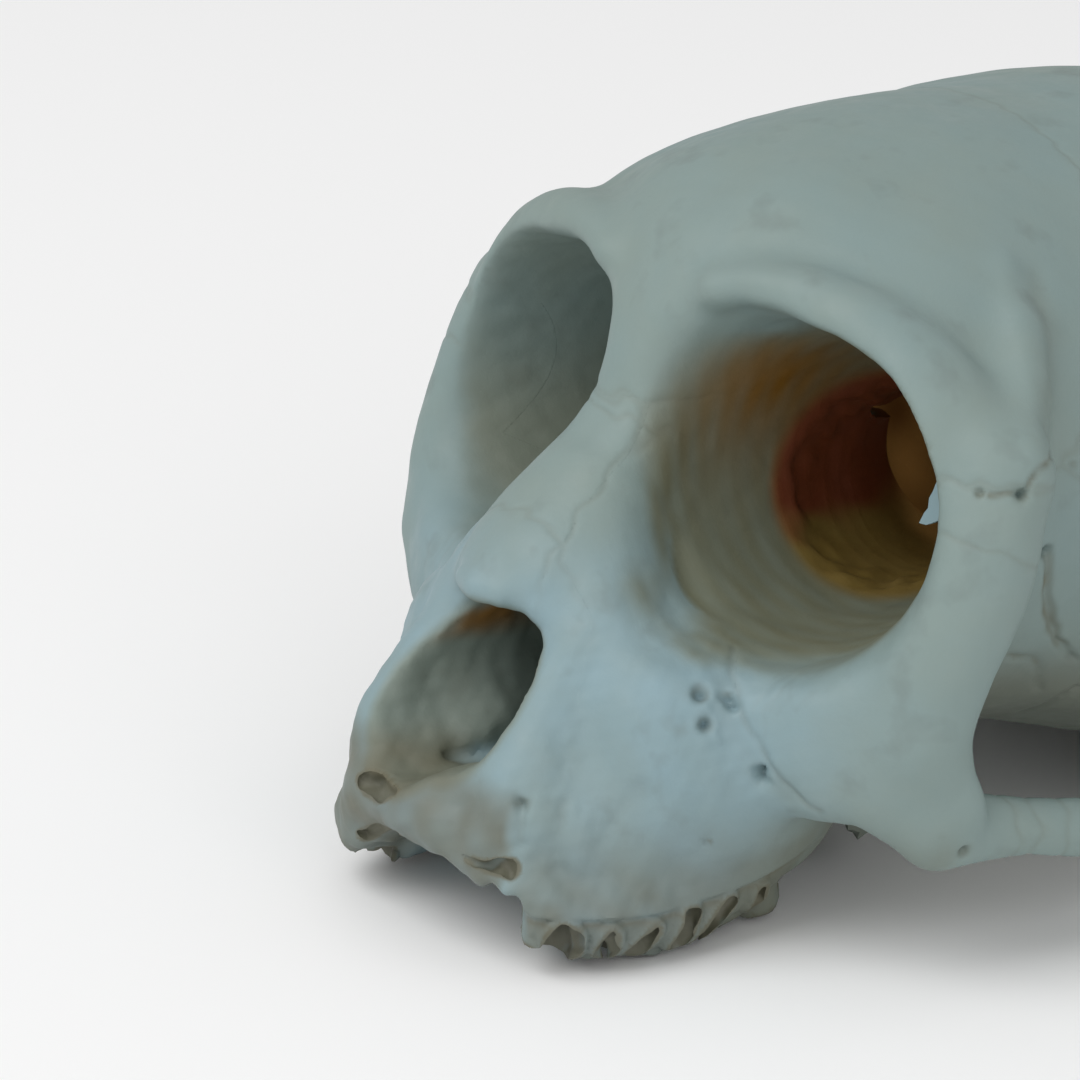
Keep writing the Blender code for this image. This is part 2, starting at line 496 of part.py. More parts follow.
def main():
    clear()
    model, tools = collection("monkey_skull"), collection("cutters")

    # the clay: every mass and rod on both sides, fused
    pieces = []
    for name, centre, half, turn, _ in MASSES:
        for side in (1, -1) if centre[0] else (1,):
            pieces.append(clay_mass(name, centre, half, turn, side, model))
    for name, points, flat, _ in RODS:
        for side in (1, -1) if any(row[0] for row in points) else (1,):
            pieces.append(clay_rod(name, points, flat, side, model))
    pieces.append(clay_rod("stump", STUMP, None, 1, model))
    whole = fused("whole", pieces, CLAY, model)

    # the hollows, fused into one cutter and taken out
    pieces = []
    for name, points, _, only in HOLLOWS:
        for side in (1, -1) if not only and any(row[0] for row in points) else (1,):
            pieces.append(clay_rod(name, points, None, side, tools))
    hollow = fused("hollow", pieces, CLAY, tools)
    hollow.hide_render = True
    hollow.display_type = "WIRE"
    boolean(whole, "DIFFERENCE", hollow)
    bpy.data.objects.remove(hollow)
    keep_largest(whole)

    # an even skin over it, settled on the blended form in finer steps, then thinned to facets
    for voxel, rounds, most in SETTLING:
        skin = whole.modifiers.new("skin", "REMESH")
        skin.mode = "VOXEL"
        skin.voxel_size = voxel
        apply_all(whole)
        settle(whole.data, rounds, most)
        relax = whole.modifiers.new("relax", "SMOOTH")
        relax.factor, relax.iterations = 0.5, 2
        apply_all(whole)
        settle(whole.data, 1, most)
        keep_largest(whole)
    thin = whole.modifiers.new("thin", "DECIMATE")
    thin.ratio = KEEP / len(whole.data.polygons)
    apply_all(whole)
    keep_largest(whole)

    # the bones, each taken off along its sutures; what is left is the sphenoid
    made = []
    for name, blocks in bones():
        bone = add_object(name, whole.data.copy(), model)
        shapes = [prism(f"{name}_block", *block, tools) for block in blocks]
        wide = [prism(f"{name}_seam", *block, tools, grow=SEAM) for block in blocks]
        for extra in shapes[1:]:
            boolean(shapes[0], "UNION", extra)
        for extra in wide[1:]:
            boolean(wide[0], "UNION", extra)
        boolean(bone, "INTERSECT", shapes[0], "MANIFOLD")  # EXACT loses this dense, folded form
        keep_largest(bone)
        boolean(whole, "DIFFERENCE", wide[0], "MANIFOLD")
        keep_largest(whole)
        for helper in shapes + wide:
            bpy.data.objects.remove(helper)
        made.append(bone)
    whole.name = whole.data.name = "sphenoid"
    made.append(whole)

    # to the resting frame: tip, centre on the floor, metres; each bone's origin is at its middle
    tip = Matrix.Rotation(-math.radians(PITCH), 4, "X")
    corners = np.concatenate([points_of(bone.data) for bone in made]) @ np.array(tip.to_3x3()).T
    low, high = corners.min(0), corners.max(0)
    shift = Matrix.Translation((-(low[0] + high[0]) / 2, -(low[1] + high[1]) / 2, -low[2]))
    root = add_object("monkey_skull_root", None, model)
    for bone in made:
        bone.data.transform(Matrix.Scale(MM, 4) @ shift @ tip)
        points = points_of(bone.data)
        middle = Vector((points.min(0) + points.max(0)) / 2)
        bone.data.transform(Matrix.Translation(-middle))
        bone.location = middle
        bone.parent = root
        bone.data.materials.clear()
        bone.data.materials.append(bone_material(bone.name))
        bone.data.shade_smooth()
        bone.data.set_sharp_from_angle(angle=math.radians(40))
        bone.data.name = bone.name
    print("shift", tuple(round(v, 3) for v in shift.translation))


main()
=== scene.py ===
"""The looks of a small monkey's skull: dry old bone without its lower jaw and teeth, on a pale floor."""

import math

import bmesh
import bpy
import numpy as np
from mathutils import Matrix, Vector


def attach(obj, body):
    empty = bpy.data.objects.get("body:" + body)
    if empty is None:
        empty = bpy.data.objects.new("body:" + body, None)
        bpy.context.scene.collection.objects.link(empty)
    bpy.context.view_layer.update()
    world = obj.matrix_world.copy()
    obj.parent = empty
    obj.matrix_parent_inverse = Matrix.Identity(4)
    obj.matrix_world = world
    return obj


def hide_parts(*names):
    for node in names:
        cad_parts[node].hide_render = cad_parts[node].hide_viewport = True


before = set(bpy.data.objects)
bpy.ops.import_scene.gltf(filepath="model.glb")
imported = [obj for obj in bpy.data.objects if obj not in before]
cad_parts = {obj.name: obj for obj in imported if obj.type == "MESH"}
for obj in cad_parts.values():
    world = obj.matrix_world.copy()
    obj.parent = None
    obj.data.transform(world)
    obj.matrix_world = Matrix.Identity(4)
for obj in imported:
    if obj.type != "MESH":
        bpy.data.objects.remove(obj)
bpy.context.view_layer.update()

# The whole form. A skull grows as one continuous surface of thin bone, so its bones are shaped together
# here and parted at the end. Lengths are millimetres in the skull's own frame: x to its left, y to the back,
# z up, from midway between the lower rims of the orbits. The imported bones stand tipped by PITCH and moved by
# PLACE.
MM = 0.001
PITCH = math.radians(5.0)
TIP = np.array(Matrix.Rotation(-PITCH, 3, "X"))
PLACE = np.array((0.0, -28.645, 19.55))
FLOOR = -19.55
FOLD = 0.5  # rounds the form over where its two sides meet
CASE_LENGTH, CASE_WIDTH, CASE_HEIGHT = 70.4, 52.8, 42.4
ORBIT = 10.0
MASSES = [  # name, middle, half size, turn, blend
    ("braincase", (0, 38, 9.2), (CASE_WIDTH / 2, CASE_LENGTH / 2, CASE_HEIGHT / 2), (-3, 0, 0), 0),
    ("frontal_lobe", (0, 17.5, 9.6), (19.0, 20.0, 19.9), (0, 0, 0), 4),
    ("forehead_side", (10.5, 13.0, 8.8), (12.5, 13.6, 15.6), (0, 0, 0), 5),
    ("glabella", (3.0, 8.6, 13.6), (9.0, 9.6, 12.6), (0, 0, 0), 4),
    ("occipital_lobe", (0, 55, 8.0), (22.8, 19.4, 18.6), (4, 0, 0), 6),
    ("temporal_lobe", (15.5, 33, -1), (9.5, 16, 9.5), (0, 0, -12), 5),
    ("cerebellar_lobe", (11, 58, -3), (11, 11, 8), (0, 0, 0), 5),
    ("ear_capsule", (13.4, 38.0, -9.4), (4.8, 8.4, 5.8), (0, 0, 28), 1.0),
    ("mastoid", (21.5, 46.5, -6.5), (3.4, 5.4, 5.6), (0, 0, 0), 2.5),
    ("behind_joint", (19.5, 38.8, -9.5), (3.4, 1.4, 3.6), (0, 0, -10), 1.2),
    ("condyle", (6.6, 50.5, -12.6), (2.7, 4.8, 3.4), (0, 0, 24), 1.2),
    ("cheek", (9.5, -2.6, -7.6), (5.8, 7.6, 8.4), (0, 0, 0), 4),
    ("sinus", (6.6, -8.0, -10.0), (4.2, 6.0, 4.5), (0, 0, 0), 2),
    ("tuberosity", (11, 1.6, -8), (5.6, 7.2, 8), (0, 0, 0), 4),
    ("joint_root", (22, 41, -4.2), (6, 5, 3.2), (0, 0, 0), 2.5),
]
RODS = [  # name, points with their radii, flattened along which axis to what share, blend
    ("skull_base", [(0, 12, -4, 4.5), (0, 28, -5.5, 5.0), (0, 42, -8.6, 4.2)], None, 5),
    ("orbit_cone", [(13.4, 5.2, 9.6, 11.2), (12.2, 10, 9.2, 10.6), (9.0, 19, 8, 8.8), (6, 28, 6, 7)],
     None, 2.5),
    ("orbit_rim", [(5.8, 0.4, 20.0, 1.4), (9, 1.6, 20.9, 1.6), (13.5, 3.2, 20.6, 1.8),
                   (18.0, 5.0, 18.7, 2.0), (21.6, 6.4, 15.6, 2.2), (24.0, 6.6, 11.5, 2.4),
                   (24.6, 5.4, 5.5, 2.6), (22.6, 3.2, 0.4, 2.9), (17.5, 1.2, -2.6, 2.6),
                   (11.5, -1.0, -3.2, 1.8), (6.8, -2.6, 0.2, 1.2), (4.4, -2.4, 5, 1.0),
                   (3.2, -1.4, 10, 1.0)], None, 2.0),
    ("bridge", [(0, 4.0, 20, 3.6), (0, 2.2, 17, 3.4), (0, 0.6, 12, 3.2), (0, -2.0, 8, 3.0)], None, 2.5),
    ("nasal_side", [(0.8, -1.6, 10, 2.2), (1.6, -4.6, 6.6, 2.5), (2.6, -7.6, 3.6, 2.3),
                    (3.3, -9.2, 2.0, 1.7), (3.7, -10.0, 0.9, 1.2)], None, 1.5),
    ("nasal_plate", [(1.0, -4.8, 6.8, 2.2), (1.7, -8.4, 3.6, 1.9), (1.9, -10.6, 1.9, 1.4),
                     (1.8, -11.9, 1.4, 0.9)], None, 1.5),
    ("nasal_crest", [(0, -5.0, 7.0, 2.2), (0, -8.8, 3.7, 2.1), (0, -11.0, 2.0, 1.6), (0, -12.3, 1.4, 1.1)],
     None, 1.5),
    ("nose_wall", [(4.2, -3.0, 6, 2.0), (5.3, -7.2, 0.8, 2.1), (5.9, -9.9, -3.6, 2.2),
                   (6.7, -13.2, -8.6, 2.3), (6.0, -14.2, -12.0, 2.1)], None, 2),
    ("tear_wall", [(4.4, -4.4, 4.6, 1.8), (6.4, -6.0, 0.4, 2.2), (8.4, -6.6, -4.0, 2.6)], None, 3.0),
    ("tooth_row", [(0, -15.4, -12.8, 2.1), (4.3, -14.8, -13.3, 2.2), (7.4, -13.6, -15.2, 2.5),
                   (9.0, -12.2, -16.8, 2.9), (10.3, -8.6, -16.8, 3.2), (10.9, -4.5, -16.8, 3.2),
                   (11.0, 0.5, -15.2, 3.0), (10.8, 3.4, -12.9, 2.5)], None, 2),
    ("nose_floor", [(0, -14.6, -11.0, 1.6), (3.0, -14.2, -10.3, 1.6), (5.4, -13.2, -9.2, 1.7)], None, 1.5),
    ("root_wall", [(8.0, -12.6, -11.5, 2.2), (9.0, -9.6, -12.2, 3.2), (9.9, -5.0, -12.6, 3.5),
                   (10.2, 0.0, -12.0, 3.2)], None, 2),
    ("palate", [(0, -13, -11.8, 3.0), (0, -4, -11.8, 4.0), (0, 5, -11.4, 3.5)], ((0, 0, 1), 0.3), 2),
    ("cheekbone", [(14, -1.2, -5.0, 3.2), (18.5, -0.2, -5.2, 4.4), (22.5, 1.4, -5.0, 4.4),
                   (25.2, 3.6, -7.4, 3.4)], ((0.6, -0.8, 0), 0.5), 2.5),
    ("cheekbone_bar", [(25.2, 2.4, -3, 2.6), (25.9, 3.6, 2, 2.6), (26, 5.6, 8, 2.8),
                       (25.2, 7.2, 12.6, 2.4)], ((0.75, -0.65, 0), 0.75), 2.5),
    ("temporal_crest", [(24.4, 8.4, 13, 1.8), (22.4, 11.0, 16.8, 1.2), (19.4, 13.0, 19.8, 0.8)], None, 3),
    ("arch", [(25.6, 4.5, -9.0, 2.4), (27.4, 12, -9.6, 2.1), (29.6, 19, -9.3, 1.8), (30.6, 27, -8.2, 1.8),
              (29.8, 34, -6.2, 1.9), (26.5, 41, -4.6, 2.8)], ((1, -0.15, 0), 0.7), 1.5),
    ("outer_wing", [(8.2, 17, -5, 4.4), (8.8, 14.5, -9.5, 3.6), (9.6, 12.5, -14.0, 2.2)],
     ((1, 0.25, 0), 0.28), 1.2),
    ("inner_wing", [(6.2, 15, -5, 3.2), (6.0, 12.5, -10.5, 2.6), (5.8, 11.0, -14.5, 1.6)],
     ((1, 0, 0), 0.32), 1.0),
    ("nape_line", [(0, 73.0, 3.0, 1.0), (8, 70.5, 4.0, 0.8), (16, 62.5, 0.6, 0.8), (21, 54, -3.0, 1.2)],
     None, 3),
]
STUMP = [(-4.8, -15.1, -12.5, 1.8), (-6.6, -14.7, -14.6, 1.8), (-7.0, -14.4, -17.4, 1.6)]
HOLLOWS = [  # name, points with their radii, roundness of the edge, 1 where it isn't mirrored
    ("orbit", [(16.4, -6.5, 9.6, 11.0), (14.8, -2.4, 9.5, 10.2), (13.6, 1.0, 9.4, ORBIT - 0.1),
               (12.2, 5, 9.3, 9.5), (10.6, 12, 9.0, 8.0), (8.6, 18, 8.4, 5.6), (7.6, 21.5, 8.0, 2.8)],
     2.2, 0),
    ("orbit_corner", [(9.6, -8.0, 14.4, 5.2), (8.6, -1.5, 14.4, 5.2), (9.4, 3.5, 13.2, 4.6)], 3.0, 0),
    ("nose_chamber", [(-0.6, -12, -4.4, 3.8), (-0.5, -8, -4.4, 4.0), (0, -1, -4.5, 4.4),
                      (0, 3, -4.8, 2.6)], 0.6, 1),
    ("nose_mouth", [(1.2, -20, -6.6, 3.4), (1.0, -16, -5.6, 4.2), (0.8, -12.6, -4.4, 4.5),
                    (-0.3, -9.6, -3.8, 3.7)], 0.8, 1),
    ("nose_sill", [(-1.9, -20, -8.6, 2.8), (-1.9, -16, -7.8, 3.6), (-1.6, -12.6, -6.4, 3.9),
                   (-0.8, -9.4, -4.8, 3.8)], 0.8, 1),
    ("choana", [(3.1, 1, -6.6, 2.3), (3.2, 8, -8.4, 2.6), (3.2, 15, -11.6, 2.7), (3.0, 20, -15.5, 3.4)],
     0.6, 0),
    ("temple_floor", [(21, 11, -14.5, 6.6), (19.5, 19, -14.5, 8.0), (18.5, 26, -15.5, 6.8)], 3.0, 0),
    ("capsule_groove", [(9.6, 27.5, -12.8, 2.0), (6.0, 34, -13.8, 2.4), (6.6, 43.5, -13.4, 2.2)], 1.2, 0),
    ("nape_hollow", [(14.5, 50.5, -14.0, 3.4), (20, 51.5, -11.5, 2.4)], 1.6, 0),
    ("palate_vault", [(0, -12, -19, 4.2), (0, -3, -20.5, 6.2), (0, 8, -20.5, 6.6)], 1.2, 0),
    ("brain_room", [(0, 29, 8.5, 8.5), (0, 36, 9, 13.0), (0, 45, 6, 11.5), (0, 51, -2, 7.4),
                    (0, 53.5, -8, 6.2), (0, 58, -18, 6.6)], 1.2, 0),
    ("broken_orbit", [(11.0, 9.4, 8.2, 6.2), (8.2, 13.4, 7.3, 6.5), (6.5, 19, 6.9, 6.0),
                      (4.4, 26, 7, 6.4)], 0.5, 1),
    ("ear_hole", [(30, 41, 0, 2.6), (21, 41, 0, 2.4), (17, 41, 0, 1.5)], 0.8, 0),
    ("jugular_pit", [(10.0, 48.5, -14, 1.5), (9.2, 47.5, -7.5, 1.3)], 0.5, 0),
    ("oval_pit", [(10.5, 29, -14, 1.5), (9.5, 29, -5.5, 1.2)], 0.5, 0),
    ("jaw_joint", [(20.6, 33.6, -12.4, 3.4), (25.5, 35.6, -11.2, 3.4)], 1.6, 0),
]
CUTS = [  # the sockets of the lost teeth, and the hollows where the front of the jaw is broken
    ("canine_socket", [(9.5, -12.7, -21, 1.7), (9.1, -12.3, -16.0, 1.4)], 0),
    ("canine_root", [(11.3, -12.8, -20.5, 1.3), (11.3, -12.8, -17.9, 1.3)], 1),
    ("root_1", [(12.4, -10.2, -20.5, 0.8), (12.5, -10.2, -17.7, 0.8)], 0),
    ("root_2", [(12.3, -8.2, -20.5, 0.8), (12.8, -8.1, -18.9, 0.8), (13.3, -7.5, -17.5, 0.7)], 0),
    ("root_3", [(13.3, -5.2, -19.0, 0.8), (13.6, -4.9, -16.9, 0.8)], 0),
    ("root_4", [(13.0, -3.4, -19.0, 0.7), (13.5, -3.0, -17.6, 0.7), (13.9, -2.1, -16.5, 0.65)], 0),
    ("root_5", [(13.2, 1.0, -18.0, 0.6), (13.9, 0.4, -15.9, 0.6)], 0),
    ("upper_break", [(-4.9, -16.9, -12.2, 0.45), (-3.7, -16.9, -12.1, 0.95), (-2.4, -17.0, -12.1, 0.8),
                     (-1.0, -17.1, -11.7, 0.3)], 1),
    ("lower_break", [(-5.8, -15.8, -16.3, 0.5), (-3.8, -15.9, -15.5, 0.75), (-2.2, -16.2, -15.0, 0.5),
                     (-0.8, -16.7, -14.4, 0.25)], 1),
    ("incisor_root", [(5.4, -17.2, -13.9, 0.15), (7.0, -16.6, -13.9, 0.4), (8.7, -15.3, -13.8, 0.65)], 1),
]
SOCKET = 1.4
SOCKETS, SOCKET_STEP, FIRST_SOCKET = 5, 3.05, -9.2
SOCKET_DEEP = 4.2
TORN = 0.22  # how uneven the edge of the hole in the left orbit is
for number in range(SOCKETS):
    y = FIRST_SOCKET + SOCKET_STEP * number
    x = float(np.interp(y, (-8.6, -4.5, 0.5, 3.4), (10.3, 10.9, 11.0, 10.8)))
    CUTS.append((f"socket_{number + 1}", [(x, y, -21, SOCKET), (x, y, FLOOR + SOCKET_DEEP, 0.8 * SOCKET)], 0))


def along(points, steps=5):
    """Points along a smooth curve through the given ones, with their radii."""
    rows = np.array(points, float)
    if len(rows) < 3:
        return rows
    rows = np.vstack([2 * rows[0] - rows[1], rows, 2 * rows[-1] - rows[-2]])
    path = []
    for a, b, c, d in zip(rows, rows[1:], rows[2:], rows[3:]):
        for t in np.linspace(0, 1, steps, endpoint=False):
            bend = (2 * a - 5 * b + 4 * c - d) * t**2 + (3 * b - a - 3 * c + d) * t**3
            path.append(0.5 * (2 * b + (c - a) * t + bend))
    return np.array(path + [rows[-2]])


def rod(p, points, flat=None):
    """Distance to a tapered round rod along the points."""
    path = along(points)
    centres, radii = path[:, :3], path[:, 3]
    if flat is not None:
        axis = np.array(flat[0], float) / np.linalg.norm(flat[0])
        stretch = 1 / flat[1] - 1
        p = p + (p @ axis)[..., None] * axis * stretch
        centres = centres + (centres @ axis)[..., None] * axis * stretch
    best = np.full(len(p), 1e9)
    for a, b, ra, rb in zip(centres, centres[1:], radii, radii[1:]):
        line = b - a
        t = np.clip((p - a) @ line / (line @ line + 1e-9), 0, 1)
        away = np.sqrt(((p - a - t[:, None] * line) ** 2).sum(-1))
        best = np.minimum(best, away - ra - t * (rb - ra))
    return best


def mass(p, centre, half, turn):
    """Distance to an egg-shaped mass."""
    around = [Matrix.Rotation(math.radians(angle), 3, axis) for angle, axis in zip(turn, "XYZ")]
    q = (p - centre) @ np.array(around[2] @ around[1] @ around[0])
    half = np.array(half, float)
    k = np.sqrt(((q / half) ** 2).sum(-1))
    return k * (k - 1) / np.maximum(np.sqrt(((q / half**2) ** 2).sum(-1)), 1e-6)


def join(a, b, blend):
    """The nearer of two distances, rounded over where they meet."""
    h = np.maximum(blend - np.abs(a - b), 0) / max(blend, 1e-6)
    return np.minimum(a, b) - h * h * blend / 4


def carve(a, b, blend):
    return -join(-a, b, blend)


def meet(a, b, blend):
    return -join(-a, -b, blend)


def near(q, points, margin):
    """Which points lie in the box round a rod."""
    path = along(points)
    low = (path[:, :3] - path[:, 3:]).min(0) - margin
    high = (path[:, :3] + path[:, 3:]).max(0) + margin
    return ((q > low) & (q < high)).all(1)


def ripple(p, size, seed):
    """Smooth uneven waves of about that size, from -1 to 1."""
    draw = np.random.default_rng(seed)
    total = np.zeros(len(p))
    for _ in range(5):
        way = draw.normal(size=3)
        way *= 2 * math.pi / (size * draw.uniform(0.8, 1.5) * np.linalg.norm(way))
        total += np.sin(p @ way + draw.uniform(0, 2 * math.pi))
    return total / 3


def swirl(p, size, seed, deep):
    """Which way and how far to look aside for an uneven edge."""
    return deep * np.stack([ripple(p, size, seed + i) for i in range(3)], -1)


def broken_front(p):
    """Distance to what is broken off the front of the jaw, below a ragged surface, as far as the left
    canine's socket; on the right side a stump hangs lower."""
    x, y, z = p.T
    ragged = 0.25 * np.sin(1.3 * x + 0.7) + 0.2 * np.sin(2.9 * x + 1.1 * y)
    height = z + 15.2 + 0.37 * np.maximum(-x, 0) + 0.05 * np.maximum(x, 0) + ragged
    return meet(height, meet(0.616 * x + 0.788 * y + 5.7, y + 11.0, 1), 1)


def bell(distance, width):
    """1 at no distance, and smoothly down to 0."""
    return np.exp(-((distance / width) ** 2))


def folded(p):
    """The points with the right side folded onto the left."""
    return np.abs(p[:, :1]) * (1, 0, 0) + p * (0, 1, 1)


def hollow_named(name):
    return next(row[1] for row in HOLLOWS if row[0] == name)


def form(p):
    """Distance to the skull's surface, below zero in the bone."""
    q = p.copy()
    q[:, 0] = np.sqrt(p[:, 0] ** 2 + FOLD**2)
    depth = np.full(len(p), 1e3)
    for _, centre, half, turn, blend in MASSES:
        close = (np.abs(q - centre) < max(half) + blend + 3).all(1)
        depth[close] = join(depth[close], mass(q[close], centre, half, turn), blend)
    for _, points, flat, blend in RODS:
        close = near(q, points, blend + 3)
        depth[close] = join(depth[close], rod(q[close], points, flat), blend)
    close = near(p, STUMP, 4)
    depth[close] = join(depth[close], rod(p[close], STUMP), 1.0)
    for name, points, edge, side in HOLLOWS:
        seen = p if side else q
        close = near(seen, points, edge + 3)
        gap = rod(seen[close], points)
        if name == "broken_orbit":
            gap += TORN * ripple(seen[close], 1.9, 40) * bell(rod(seen[close], hollow_named("orbit")), 1.4)
        depth[close] = carve(depth[close], gap, edge)
    depth = carve(depth, broken_front(p), 0.8)
    height = p[:, 2] * math.cos(PITCH) - p[:, 1] * math.sin(PITCH)
    return meet(depth, FLOOR - height, 0.3)


def points_of(mesh):
    """A mesh's points in the skull's own frame, in millimetres."""
    flat = np.empty(len(mesh.vertices) * 3, np.float32)
    mesh.vertices.foreach_get("co", flat)
    return (flat.reshape(-1, 3) / MM - PLACE) @ TIP


def put_points(mesh, points):
    mesh.vertices.foreach_set("co", ((points @ TIP.T + PLACE) * MM).astype(np.float32).ravel())
    mesh.update()


def settle(mesh, rounds, most, chosen=slice(None)):
    """Moves the chosen points along the form's slope onto its surface, each at most so far at a time."""
    step = 0.04
    for _ in range(rounds):
        points = points_of(mesh)
        here = points[chosen]
        off = form(here)
        way = np.stack([(form(here + step * axis) - off) / step for axis in np.eye(3)], -1)
        move = -(off / np.maximum((way**2).sum(-1), 0.3))[:, None] * way
        length = np.linalg.norm(move, axis=1, keepdims=True)
        points[chosen] = here + move * np.minimum(1, most / np.maximum(length, 1e-9))
        put_points(mesh, points)


def fade(value, low, high):
    """0 up to low, 1 from high on, and smooth between."""
    t = np.clip((value - low) / (high - low), 0, 1)
    return t * t * (3 - 2 * t)


def mesh_of(bm, name):
    """The bmesh made a mesh, and freed."""
    mesh = bpy.data.meshes.new(name)
    bm.to_mesh(mesh)
    bm.free()
    return mesh


def stood(mesh):
    """A mesh drawn in the skull's own frame, moved to its place on the floor."""
    flat = np.empty(len(mesh.vertices) * 3)
    mesh.vertices.foreach_get("co", flat)
    put_points(mesh, flat.reshape(-1, 3))
    return mesh


def thing_of(name, mesh):
    """A new object of the mesh, in the scene."""
    made = bpy.data.objects.new(name, mesh)
    bpy.context.scene.collection.objects.link(made)
    return made


def applied(thing):
    """Makes the object's modifiers real in its mesh."""
    graph = bpy.context.evaluated_depsgraph_get()
    graph.update()
    mesh = bpy.data.meshes.new_from_object(thing.evaluated_get(graph))
    thing.modifiers.clear()
    thing.data = mesh


def chain(rods, swell):
    """A closed mesh round rods, each a row of overlapping balls, on both sides unless its side is 1."""
    bm = bmesh.new()
    for _, points, side in rods:
        ends = np.array(points)
        turns = np.arange(len(ends))
        long = np.linalg.norm(np.diff(ends[:, :3], axis=0), axis=1).sum()
        fine = np.linspace(0, turns[-1], 1 + int(4 * long))
        for row in np.stack([np.interp(fine, turns, column) for column in ends.T], -1):
            for mirror in (1,) if side else (1, -1):
                middle = Matrix.Translation((mirror * row[0], row[1], row[2]))
                bmesh.ops.create_icosphere(bm, subdivisions=2, radius=row[3] + swell, matrix=middle)
    return stood(mesh_of(bm, "chain"))


def skin(thing, voxel):
    """Covers the object with one even skin."""
    cover = thing.modifiers.new("skin", "REMESH")
    cover.mode = "VOXEL"
    cover.voxel_size = voxel * MM
    applied(thing)


def boolean(thing, operation, other, solver="MANIFOLD"):
    cut = thing.modifiers.new("cut", "BOOLEAN")
    cut.operation = operation
    cut.solver = solver
    cut.object = other
    applied(thing)


# The skin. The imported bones, swollen until the seams between them close, are covered with one fine skin,
# which then settles on the form. The sockets of the lost teeth are plugged until then, and drilled out of it
# with the breaks.
SWELL = 0.22
GRAIN = 0.38  # spacing of the fine surface's points
HOLE_GRAIN = 0.22
PLUG_END = -18.4  # how low the plugs reach
bm = bmesh.new()
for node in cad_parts.values():
    one = bmesh.new()
    one.from_mesh(node.data)
    bmesh.ops.remove_doubles(one, verts=one.verts, dist=1e-6)
    one.normal_update()
    for vert in one.verts:
        vert.co += vert.normal * SWELL * MM
    bm.from_mesh(mesh_of(one, "bone_copy"))
PLUGS = [(name, [(*row[:2], max(row[2], PLUG_END), row[3]) for row in points], side)
         for name, points, side in CUTS if name.startswith(("socket", "canine_socket"))]
bm.from_mesh(chain(PLUGS, 0.4))
whole = thing_of("whole", mesh_of(bm, "whole"))
skin(whole, GRAIN)
settle(whole.data, 2, 0.4)
holes = thing_of("holes", chain(CUTS, 0.0))
skin(holes, HOLE_GRAIN)
hole_points = points_of(holes.data)
put_points(holes.data, hole_points + swirl(hole_points, 1.5, 60, 0.16))
boolean(whole, "DIFFERENCE", holes)
bpy.data.objects.remove(holes)

# The sutures. Bones meet in winding seams, some still open and brown with age. Each seam is a line seen from
# one side of the skull: the same lines part the bones and draw the fine grooves.
X, Y = 0, 1
CORONAL = [(8.0, 12.9), (13.5, 12.4), (18.0, 15.5), (23.0, 22.0), (27.5, 40.0)]
SQUAMOUS = [(18.0, 9.5), (24.0, 8.2), (31.0, 12.2), (39.0, 13.0), (47.0, 9.2), (52.0, 3.0)]
LAMBDOID = [(52.0, 3.0), (57.5, 12.0), (61.0, 20.0), (63.5, 40.0)]


def mirrored(side, low, high):
    return (low, high) if side > 0 else (-high, -low)


def bones():
    """Each bone in the order it is taken off, as blocks of outline, axis, low, high. The sphenoid stays."""
    yield "nasal_bones", [([(-2.6, 12.6), (2.6, 12.6), (3.9, 5.0), (4.4, -4.0), (-4.4, -4.0), (-3.9, 5.0)],
                           Y, -40, -0.6)]
    yield "premaxilla", [([(-40, 6.0), (-9.6, 6.0), (-9.2, 1.0), (-12.6, -9.0), (-11.6, -13.0),
                           (-11.8, -25), (-40, -25)], X, -40, 40)]
    for name, side in (("left", 1), ("right", -1)):
        cheek = [(16.4, 1.5), (16.4, -4.6), (17.9, -6.1), (19.6, -7.8), (21.4, -10.5), (22.2, -20.0),
                 (40, -20), (40, 12.7), (21.0, 12.7), (21.0, 4.0)]
        rim = [(11.6, 2.0), (12.0, -0.5), (13.6, -1.3), (15.1, -2.6), (16.3, -4.1), (17.2, -4.9),
               (17.2, 1.8)]
        root = [(10.0, -20.0), (19.4, -20.0), (21.0, -3.6), (10.0, -3.6)]
        yield f"zygomatic_{name}", [([(side * a, b) for a, b in cheek], Y, -20, 10.6),
                                    ([(side * a, b) for a, b in rim], Y, -20, 2.6),
                                    (root, X, *mirrored(side, 25.2, 40.0))]
    yield "frontal", [([(-20, 60), (-20, 12.9)] + CORONAL + [(27.5, 60)], X, -40, 40),
                      ([(12.0, 11.0), (27.5, 11.0), (27.5, 18.5), (18.0, 18.0), (12.0, 14.0)], X, -17, 17)]
    for name, side in (("left", 1), ("right", -1)):
        yield f"parietal_{name}", [(CORONAL[1:] + [(27.5, 60), (63.5, 60)] + LAMBDOID[::-1]
                                    + SQUAMOUS[-2::-1], X, *mirrored(side, 0, 60))]
    for name, side in (("left", 1), ("right", -1)):
        yield f"temporal_{name}", [([(26.0, -30.0), (26.0, 6.0)] + SQUAMOUS[1:] + [(53.0, -30.0)], X,
                                    *mirrored(side, 9.5, 60)),
                                   ([(12.0, -30.0), (26.4, -30.0), (26.4, -2.0), (12.0, -2.0)], X,
                                    *mirrored(side, 24, 60))]
    yield "occipital", [([(35.0, -40.0), (35.5, -2.0), (50.0, -1.0), (52.0, 3.0)] + LAMBDOID[1:]
                         + [(63.5, 60), (120, 60), (120, -40)], X, -60, 60)]
    for name, side in (("left", 1), ("right", -1)):
        yield f"maxilla_{name}", [([(-60, -40), (9.0, -40), (9.0, -14.0), (8.0, -4.0), (8.0, 8.0),
                                    (-60, 30)], X, *mirrored(side, 0, 60))]


